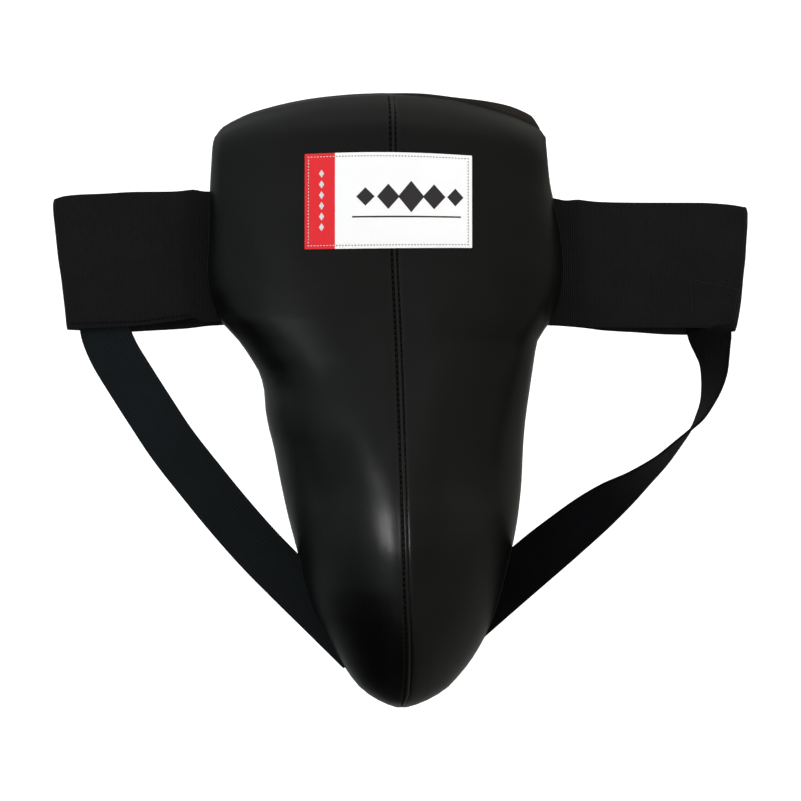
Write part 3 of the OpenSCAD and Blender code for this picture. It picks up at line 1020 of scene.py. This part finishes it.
# rear gusset that shows past the waist edge at the right
A, B = [], []
for row in range(7):
    ra, rb = [], []
    for i in range(-56, 59):
        u = i / 60.0
        p = surf(u, 150, 0)
        k = 0.6 + 1.1 * smooth((u - 0.0) / 0.3) + 2.9 * smooth((u - 0.40) / 0.42)
        k *= smooth((0.985 - u) / 0.075) * smooth((u + 0.95) / 0.2)
        y = p.y + lerp(k, -9, row / 6.0)
        z = 4.3 + 0.5 * k * (1 - row / 6.0) * 0.4
        ra.append(Vector((p.x, y, min(z, 4.8))))
        rb.append(Vector((p.x, y, min(z, 4.8) - 0.9)))
    A.append(ra)
    B.append(rb)
gus = shell("rear_gusset", A, B, M_GUSSET)
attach(gus, "guard")
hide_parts("top_gusset")


# ---------------------------------------------------------------- waist elastic
T = 1.5
FOLD_R = 2.9
FX = 195.5
ZT = 1.8


def band_piece(name, stations, y_lo, y_hi, xmap, mat, nv=26, bulge=None):
    """stations: (x, z, nx, nz, v) along the band's middle; n points to the outer face."""
    A, B, UV = [], [], []
    for (x, z, nx, nz, v) in stations:
        ra, rb, ru = [], [], []
        for j in range(nv + 1):
            t = 0.5 - 0.5 * math.cos(math.pi * j / nv) if False else j / nv
            # rows evenly spaced across the width: the finer spacing by the edges is switched off; the edges are rounded
            # by the thinner half below
            t = clamp(t + 0.0)
            lo, hi = y_lo(x, z), y_hi(x, z)
            y = lerp(lo, hi, t)
            edge = min(y - lo, hi - y)
            half = (T / 2) * (1 - 0.45 * math.exp(-edge / 0.5))
            dx = xmap(x, y)
            wav = 0.0
            if bulge:
                wav = bulge(x + dx, y, z)
            ra.append(Vector((x + dx + nx * half, y, z + nz * half + wav)))
            rb.append(Vector((x + dx - nx * half, y, z - nz * half + wav)))
            ru.append(((y) * MM, v * MM))
        A.append(ra)
        B.append(rb)
        UV.append(ru)
    return shell(name, A, B, mat, UV)


def stations_front(s, hx, x_from, x_to, step=2.0):
    out = []
    n = max(2, int(abs(x_to - x_from) / step))
    for i in range(n + 1):
        x = lerp(x_from, x_to, i / n)
        d = (x - hx) * s          # distance outboard of the hinge
        z = lerp(ZT + T / 2, 2 * FOLD_R - T / 2, smooth(d / 16.0))
        out.append((x, z, 0.0, 1.0, abs(x)))
    return out


def stations_fold(s, x_in, step=2.2):
    out = []
    n = int((FX - x_in) / step)
    for i in range(n):
        x = lerp(x_in, FX, i / n)
        out.append((s * x, 2 * FOLD_R - T / 2, 0.0, 1.0, x))
    rm = FOLD_R - T / 2
    for k in range(0, 19):
        a = math.pi * k / 18
        out.append((s * (FX + rm * math.sin(a)), FOLD_R + rm * math.cos(a), s * math.sin(a), math.cos(a), FX + rm * a))
    for i in range(1, n + 1):
        x = lerp(FX, x_in, i / n)
        out.append((s * x, T / 2, 0.0, -1.0, FX + math.pi * rm + (FX - x)))
    return out


left_top = pchip([(-200, 114.2), (-197, 115.0), (-194, 116.3), (-186, 117.4), (-172, 118.0), (-152, 119.0), (-131, 119.2),
                  (-117, 120.6), (-110, 121.8), (-104, 122.0), (-70, 122.0)])
left_bot = pchip([(-200, 40.6), (-190, 41.0), (-178, 41.5), (-148, 42.9), (-130, 45.2), (-111, 48.4), (-96, 50.2),
                  (-70, 50.5)])
left_bot2 = pchip([(-200, 40.4), (-190, 39.9), (-178, 39.4), (-165, 38.9), (-154, 39.2), (-140, 39.9), (-122, 41.0),
                   (-108, 42.6), (-80, 43.6), (-40, 42.2), (-8, 41.0)])
left_top2 = pchip([(-200, 114.0), (-186, 116.2), (-150, 117.2), (-100, 118.0), (-60, 117.5), (-8, 116.0)])
right_top = pchip([(80, 121.0), (86, 119.6), (94, 115.8), (102, 114.6), (114, 113.3), (134, 112.9), (174, 112.8),
                   (190, 111.8), (197, 110.4), (200, 109.8)])
right_bot = pchip([(70, 46.0), (86, 44.4), (100, 42.6), (114, 41.6), (165, 41.5), (190, 40.8), (200, 40.6)])
right_bot2 = pchip([(-8, 41.0), (40, 43.4), (84, 42.8), (103, 41.5), (116, 39.9), (134, 38.8), (153, 37.6), (170, 37.4),
                    (185, 38.2), (200, 39.6)])
right_top2 = pchip([(-8, 116.0), (40, 115.6), (90, 113.5), (134, 112.3), (174, 112.0), (200, 109.4)])


def two_layer(front, back):
    def f(x, z):
        k = clamp((z - 1.6) / 2.4)
        return lerp(back(x), front(x), smooth(k))
    return f


fold_l = pchip([(38, 190.3), (46, 190.9), (57, 192.1), (71, 193.8), (81, 195.3), (98, 197.1), (111, 198.3), (116, 197.9),
                (119, 194.6)])
fold_r = pchip([(36, 191.0), (40, 191.5), (46, 192.7), (57, 194.4), (71, 195.7), (81, 196.8), (91, 197.4), (100, 198.0),
                (107, 198.1), (110, 197.6), (113.5, 193.6)])


def xmap_l(x, y):
    return (198.35 - fold_l(y)) * smooth((-x - 140) / 52.0)


def xmap_r(x, y):
    return -(198.35 - fold_r(y)) * smooth((x - 140) / 52.0)


def bulge_l(x, y, z):
    if z < 3.4:
        return 0.0
    n = 0.5 * noise.noise(Vector((x * 0.03, y * 0.02, 5.0)))
    # the strap's sewn end under the layer
    k = smooth((x + 186) / 5) * smooth((-150 - x) / 5) * smooth((74 - y) / 4)
    return (n + 0.10 * k) * smooth((z - 3.4) / 1.4)


def bulge_r(x, y, z):
    if z < 3.4:
        return 0.0
    n = 0.5 * noise.noise(Vector((x * 0.03, y * 0.02, 8.0)))
    k = smooth((x - 162) / 4) * smooth((193 - x) / 4) * smooth((69 - y) / 3.5)
    return (n + 0.55 * k) * smooth((z - 3.4) / 1.4)


HL, HR = -110.5, 93.5
MEET = -8.5
b1 = band_piece("waist_band_left_front", stations_front(-1, HL, -78, -150), two_layer(left_bot, left_bot2),
                two_layer(left_top, left_top2), xmap_l, M_BAND, bulge=bulge_l)
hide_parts("left_band_tail")
b2 = band_piece("waist_band_left_fold", stations_fold(-1, 150), two_layer(left_bot, left_bot2),
                two_layer(left_top, left_top2), xmap_l, M_BAND, bulge=bulge_l)
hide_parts("left_side_band")
b3 = band_piece("waist_band_left_back", [(x, T / 2, 0.0, -1.0, 395 - abs(x)) for x in
                                         [lerp(-150, MEET - 1.0, i / 60.0) for i in range(61)]],
                lambda x, z: left_bot2(x), lambda x, z: left_top2(x), xmap_l, M_BAND)
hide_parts("left_back_band")
b4 = band_piece("waist_band_right_front", stations_front(1, HR, 61, 150), two_layer(right_bot, right_bot2),
                two_layer(right_top, right_top2), xmap_r, M_BAND, bulge=bulge_r)
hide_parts("right_band_tail")
b5 = band_piece("waist_band_right_fold", stations_fold(1, 150), two_layer(right_bot, right_bot2),
                two_layer(right_top, right_top2), xmap_r, M_BAND, bulge=bulge_r)
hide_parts("right_side_band")
b6 = band_piece("waist_band_right_back", [(x, T / 2, 0.0, -1.0, 395 - abs(x)) for x in
                                          [lerp(150, MEET + 1.0, i / 60.0) for i in range(61)]],
                lambda x, z: right_bot2(x), lambda x, z: right_top2(x), xmap_r, M_BAND)
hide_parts("right_back_band")
for ob in (b1, b2, b3, b4, b5, b6):
    outward(ob)
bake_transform(b1)
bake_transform(b2)
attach(b3, "left_back")
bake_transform(b4)
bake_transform(b5)
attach(b6, "right_back")


# ---------------------------------------------------------------- leg straps
def spline(pts, n):
    """Catmull-Rom through the points, n samples a span; every point is a tuple of numbers."""
    out = []
    m = len(pts)
    for i in range(m - 1):
        p0 = pts[max(0, i - 1)]
        p1, p2 = pts[i], pts[i + 1]
        p3 = pts[min(m - 1, i + 2)]
        for k in range(n):
            t = k / n
            out.append(tuple(0.5 * ((2 * b) + (-a + c) * t + (2 * a - 5 * b + 4 * c - d) * t * t +
                                    (-a + 3 * b - 3 * c + d) * t ** 3)
                             for a, b, c, d in zip(p0, p1, p2, p3)))
    out.append(tuple(pts[-1]))
    return out


def strap(name, path, w, t, mat, nv=18):
    """path: (x, y, z, twist) samples; a flat woven strap with rounded selvedges."""
    pts = path
    A, B, UV = [], [], []
    dist = 0.0
    for i, p in enumerate(pts):
        a = pts[max(0, i - 1)]
        b = pts[min(len(pts) - 1, i + 1)]
        d = Vector((b[0] - a[0], b[1] - a[1], b[2] - a[2])).normalized()
        side = Vector((-d.y, d.x, 0)).normalized()
        up = side.cross(d) * -1
        if up.z < 0:
            up = -up
        c, s = math.cos(math.radians(p[3])), math.sin(math.radians(p[3]))
        wv = side * c + up * s
        nv_ = up * c - side * s
        if i:
            dist += math.dist(pts[i][:3], pts[i - 1][:3])
        ra, rb, ru = [], [], []
        for j in range(nv + 1):
            q = -1 + 2 * j / nv
            q = 0.75 * q + 0.25 * math.sin(math.pi / 2 * q)
            half = t / 2 * (1 - 0.55 * math.exp(-(1 - abs(q)) * w / 2 / 0.5))
            cup = 0.35 * (q * q - 0.4) * 0
            o = Vector(p[:3]) + wv * (q * w / 2)
            ra.append(o + nv_ * (half + cup))
            rb.append(o - nv_ * (half - cup))
            ru.append((q * w / 2 * MM, dist * MM))
        A.append(ra)
        B.append(rb)
        UV.append(ru)
    ob = shell(name, A, B, mat, UV)
    outward(ob)
    return ob


W, TS = 28.5, 1.6
# left: from between the layers, over the back layer's edge, down to the table and behind the tip
lp = [(-170.2, 70, 2.75, 0), (-169.7, 58, 2.75, 0), (-169.0, 46, 2.75, 0), (-168.0, 38, 2.6, 0), (-163.4, 27, 1.7, 0),
      (-156.9, 16, 1.1, 0), (-143.8, -4.6, 0.95, 0), (-130.2, -25.1, 0.9, 0), (-114.2, -45.6, 0.9, 0),
      (-98.0, -65.4, 0.9, 0), (-80.5, -85.2, 0.9, 0), (-61.5, -104.4, 0.9, 0), (-42.0, -123.6, 0.9, 0),
      (-22.5, -142.8, 0.9, 0)]
s_l = strap("left_leg_elastic", spline(lp, 7), W, TS, M_STRAP)


def tw(a, w=W):
    return w / 2 * abs(math.sin(math.radians(a))) + 0.8 * abs(math.cos(math.radians(a))) + 0.1


rp = [(178.6, 66, None, 0), (178.2, 55, None, 0), (177.4, 45, None, 6), (177.0, 38, None, 28), (178.0, 31.4, None, 42),
      (178.7, 24, None, 54), (178.6, 15, None, 61), (177.0, 6, None, 69), (174.3, -2, None, 77), (170.4, -9.7, None, 83),
      (165.6, -16.2, None, 91), (157.6, -25, None, 99), (147.6, -35.3, None, 107.5), (134.8, -45.6, None, 119),
      (120.3, -56, None, 138), (107.2, -66.2, None, 152), (94.6, -76.4, None, 161), (80.5, -88.0, None, 172),
      (62.5, -103.4, None, 179), (43.5, -120.0, None, 180), (23.5, -137.6, None, 180)]


def rz(x, y, a):
    if y > 38.5:
        return 2.75 + (tw(a) - 0.9) * 0.10
    k = smooth((38.5 - y) / 9.0)
    return lerp(2.9, tw(a), k)


rp = [(x, y, max(rz(x, y, a), tw(a)) if y < 38.5 else rz(x, y, a), a) for x, y, z, a in rp]
# the right strap takes the darker copy of the elastic: painted shade
s_r = strap("right_leg_elastic", spline(rp, 7), W, TS, M_STRAP_PAINTED_SHADE)
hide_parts("left_leg_strap")
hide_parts("right_leg_strap")
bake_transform(s_l)
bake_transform(s_r)

# the CAD's strap stubs are hidden: their sewn ends stay inside
for nm, ob in (("left_strap_stub", s_l), ("right_strap_stub", s_r)):
    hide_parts(nm)


# ---------------------------------------------------------------- stitching on the elastic
def stitch_line(name, pts, zfun, pitch, length, w, h, mat, body, up=1):
    vs, fs = [], []
    acc = pitch * 0.5
    for (x0, y0), (x1, y1) in zip(pts, pts[1:]):
        seg = math.hypot(x1 - x0, y1 - y0)
        if seg < 1e-6:
            continue
        while acc < seg:
            t = acc / seg
            x, y = lerp(x0, x1, t), lerp(y0, y1, t)
            capsule(vs, fs, Vector((x, y, zfun(x, y))), Vector((x1 - x0, y1 - y0, 0)), Vector((0, 0, up)), length, w, h)
            acc += pitch
        acc -= seg
    ob = make(name, vs, fs, mat)
    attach(ob, body)
    return ob


M_BTHREAD = woven("band_thread", (0.0105, 0.0102, 0.0108), (0.0070, 0.0070, 0.0074), rough=0.5, pitch=0.0004, depth=0.0001)


def top_l(x, y):
    return 5.85 + bulge_l(x, y, 5.8)


def top_r(x, y):
    return 5.85 + bulge_r(x, y, 5.8)


box_r = [(165.6, 69.0), (192.6, 63.2), (189.6, 44.0), (166.2, 44.6), (165.6, 69.0)]
r1 = stitch_line("right_box_thread", box_r, top_r, 2.7, 2.1, 0.5, 0.28, M_BTHREAD, "right_side")
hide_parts("right_box_stitch")
r2 = stitch_line("right_hem_thread", [(165, 43.4), (188, 43.0)], top_r, 2.7, 2.1, 0.45, 0.25, M_BTHREAD, "right_side")
l1 = stitch_line("left_hem_thread", [(-188, 43.8), (-150, 45.0), (-126, 48.2), (-121, 49.2)], top_l, 2.7, 2.1, 0.45, 0.25, M_THREAD,
                 "left_side")
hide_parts("left_box_stitch")

# ---------------------------------------------------------------- anchor tab under the tip
tab = [(-36, -138), (-27, -126.5), (27, -126.5), (37, -138), (26, -156), (13, -164.5), (0, -167), (-11, -164.5), (-24, -156)]
dense = []
m = len(tab)
for i in range(m):
    p0, p1, p2, p3 = tab[i - 1], tab[i], tab[(i + 1) % m], tab[(i + 2) % m]
    for k in range(8):
        t = k / 8
        q = tuple(0.5 * ((2 * b) + (-a + c) * t + (2 * a - 5 * b + 4 * c - d) * t * t + (-a + 3 * b - 3 * c + d) * t ** 3)
                  for a, b, c, d in zip(p0, p1, p2, p3))
        dense.append((lerp(p1[0], p2[0], t) * 0.6 + q[0] * 0.4, lerp(p1[1], p2[1], t) * 0.6 + q[1] * 0.4))
cx, cy = 0.0, -144.0
vs, fs = [], []
levels = [(0.0, 1.95), (0.5, 1.93), (0.93, 1.95), (0.985, 2.1), (1.0, 2.5), (0.985, 2.95), (0.93, 3.1), (0.5, 3.12), (0.0, 3.12)]
nn = len(dense)
for f, z in levels:
    for (x, y) in dense:
        vs.append(Vector((lerp(cx, x, max(f, 0.002)), lerp(cy, y, max(f, 0.002)), z)))
for a in range(len(levels) - 1):
    for i in range(nn):
        j = (i + 1) % nn
        fs.append((a * nn + i, (a + 1) * nn + i, (a + 1) * nn + j, a * nn + j))
fs.append(tuple(range(nn)))
fs.append(tuple(range(len(levels) * nn - 1, (len(levels) - 1) * nn - 1, -1)))
tabo = make("anchor_tab_leather", vs, fs, M_LEATHER2)
outward(tabo)
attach(tabo, "guard")
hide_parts("strap_anchor_tab")

# ---------------------------------------------------------------- carried-over inner pieces
for nm, mt in (("hard_cup", M_CUP), ("cup_rim_cushion", M_LINING)):
    o = bpy.data.objects[nm]
    for sl in o.material_slots:
        sl.material = mt

# ---------------------------------------------------------------- floor, light, camera
sc = bpy.context.scene
me = bpy.data.meshes.new("floor")
S = 12.0
FZ = -0.195      # low enough for the waist loop to open behind the guard without sinking into the floor
me.from_pydata([(-S, -S, FZ), (S, -S, FZ), (S, S, FZ), (-S, S, FZ)], [], [(0, 1, 2, 3)])
floor = bpy.data.objects.new("floor", me)
sc.collection.objects.link(floor)
fm = Mat("floor_paper")
fm.b.inputs["Roughness"].default_value = 0.9
fm.b.inputs["Specular IOR Level"].default_value = 0.1
fm.b.inputs["Base Color"].default_value = (0.93, 0.93, 0.93, 1)
fm.b.inputs["Emission Color"].default_value = (1, 1, 1, 1)
fm.b.inputs["Emission Strength"].default_value = 0.42
me.materials.append(fm.m)
floor.visible_glossy = False

sc.view_settings.view_transform = "Standard"
sc.view_settings.look = "None"
world = bpy.data.worlds.new("studio")
sc.world = world
world.use_nodes = True
wt = world.node_tree
bg = wt.nodes["Background"]


def wn(kind, **kw):
    n = wt.nodes.new(kind)
    for k, v in kw.items():
        setattr(n, k, v)
    return n


# a studio dome: soft grey overhead, dimmer to the lower left, pale towards the right and the back
tc = wn("ShaderNodeTexCoord")
nrm = wn("ShaderNodeVectorMath", operation="NORMALIZE")
wt.links.new(tc.outputs["Generated"], nrm.inputs[0])


def lobe(direction, power, lo, hi):
    d = Vector(direction).normalized()
    n = wn("ShaderNodeVectorMath", operation="DOT_PRODUCT")
    n.inputs[1].default_value = d
    wt.links.new(nrm.outputs[0], n.inputs[0])
    r = wn("ShaderNodeMapRange", interpolation_type="SMOOTHSTEP")
    r.inputs["From Min"].default_value = lo
    r.inputs["From Max"].default_value = hi
    r.inputs["To Min"].default_value = 0.0
    r.inputs["To Max"].default_value = power
    wt.links.new(n.outputs["Value"], r.inputs["Value"])
    return r.outputs[0]


def wadd(a, b, op="ADD"):
    n = wn("ShaderNodeMath", operation=op)
    for i, v in enumerate((a, b)):
        if isinstance(v, (int, float)):
            n.inputs[i].default_value = v
        else:
            wt.links.new(v, n.inputs[i])
    return n.outputs[0]


# even grey overhead, falling off towards and below the horizon, lifted again straight below for bright rims;
# darker low down on the left and in front
front_dark = wadd(1.0, lobe((-0.50, -0.80, -0.20), 0.985, 0.50, 0.84), "SUBTRACT")
low = wadd(lobe((0, 0, 1), 1.0, -0.24, -0.02), wadd(1.0, lobe((0, 0, 1), 1.0, 0.05, 0.34), "SUBTRACT"), "MULTIPLY")
low = wadd(low, lobe((-1.0, -0.2, 0.0), 0.60, 0.15, 0.8), "MULTIPLY")
side_dark = wadd(1.0, low, "SUBTRACT")
spot = wadd(1.0, lobe((0.78, -0.05, 0.62), 0.28, 0.93, 0.99), "SUBTRACT")
tot = wadd(0.125, lobe((0, 0, 1), 0.055, -0.35, 0.65))
tot = wadd(tot, lobe((0, 1, 0.05), 0.24, 0.42, 0.98))
tot = wadd(tot, lobe((-1, 0.15, -0.42), 0.13, 0.62, 0.97))
tot = wadd(tot, lobe((-0.75, 0.65, -0.3), 0.36, 0.75, 1.0))
tot = wadd(tot, lobe((0.75, 0.65, -0.3), 0.36, 0.75, 1.0))
tot = wadd(tot, lobe((-0.55, 0.25, 0.8), 0.06, 0.3, 1.0))
tot = wadd(tot, lobe((0, 0, -1), 0.34, 0.86, 1.0))
for k in (front_dark, side_dark, spot):
    tot = wadd(tot, k, "MULTIPLY")
wt.links.new(tot, bg.inputs[1])
tint = wn("ShaderNodeMix", data_type="RGBA")
wt.links.new(lobe((1, 0, 0), 1.0, -0.8, 0.8), tint.inputs[0])
tint.inputs[6].default_value = (0.93, 1.0, 1.0, 1)
tint.inputs[7].default_value = (1.0, 1.0, 0.90, 1)
wt.links.new(tint.outputs[2], bg.inputs[0])


def area(name, loc, target, size, size_y, power, color=(1, 1, 1)):
    d = bpy.data.lights.new(name, "AREA")
    d.shape = "RECTANGLE"
    d.size = size
    d.size_y = size_y
    d.energy = power
    d.color = color
    o = bpy.data.objects.new(name, d)
    sc.collection.objects.link(o)
    o.location = loc
    v = Vector(target) - Vector(loc)
    o.rotation_euler = v.to_track_quat("-Z", "Y").to_euler()
    return o


key = area("key_left", (-0.268, 0.035, 0.442), (-0.007, -0.08, 0.088), 0.046, 0.10, 0.10)
key.visible_diffuse = False
key.visible_camera = False
sp = bpy.data.lights.new("key_spot", "SPOT")
sp.energy = 2.2
sp.shadow_soft_size = 0.024
sp.spot_size = math.radians(13.5)
sp.spot_blend = 1.0
so = bpy.data.objects.new("key_spot", sp)
sc.collection.objects.link(so)
so.location = (-0.262, 0.040, 0.450)
so.rotation_euler = (Vector((-0.0085, -0.078, 0.088)) - Vector(so.location)).to_track_quat("-Z", "Y").to_euler()
so.visible_diffuse = False
so.visible_camera = False
for nm, loc, w, h, power in (("side_right", (1.55, 0.25, 1.00), 1.0, 0.9, 16.3), ("side_back", (0.0, 1.70, 1.10), 1.6, 0.8, 16.3),
                             ("side_left", (-1.45, 0.75, 0.95), 0.9, 0.9, 15.2), ("side_front", (0.2, -1.7, 1.10), 1.4, 0.8, 12.4)):
    lo = area(nm, loc, (0, 0, 0.02), w, h, power)
    lo.visible_glossy = False
    lo.visible_camera = False

cam = bpy.data.cameras.new("camera")
D = 6.0
cam.sensor_width = 36
cam.lens = 36 * (D - 0.008) / (801 * 0.57 * MM)
co = bpy.data.objects.new("camera", cam)
sc.collection.objects.link(co)
co.location = (0, 0, D)
co.rotation_euler = (0, 0, 0)
sc.camera = co
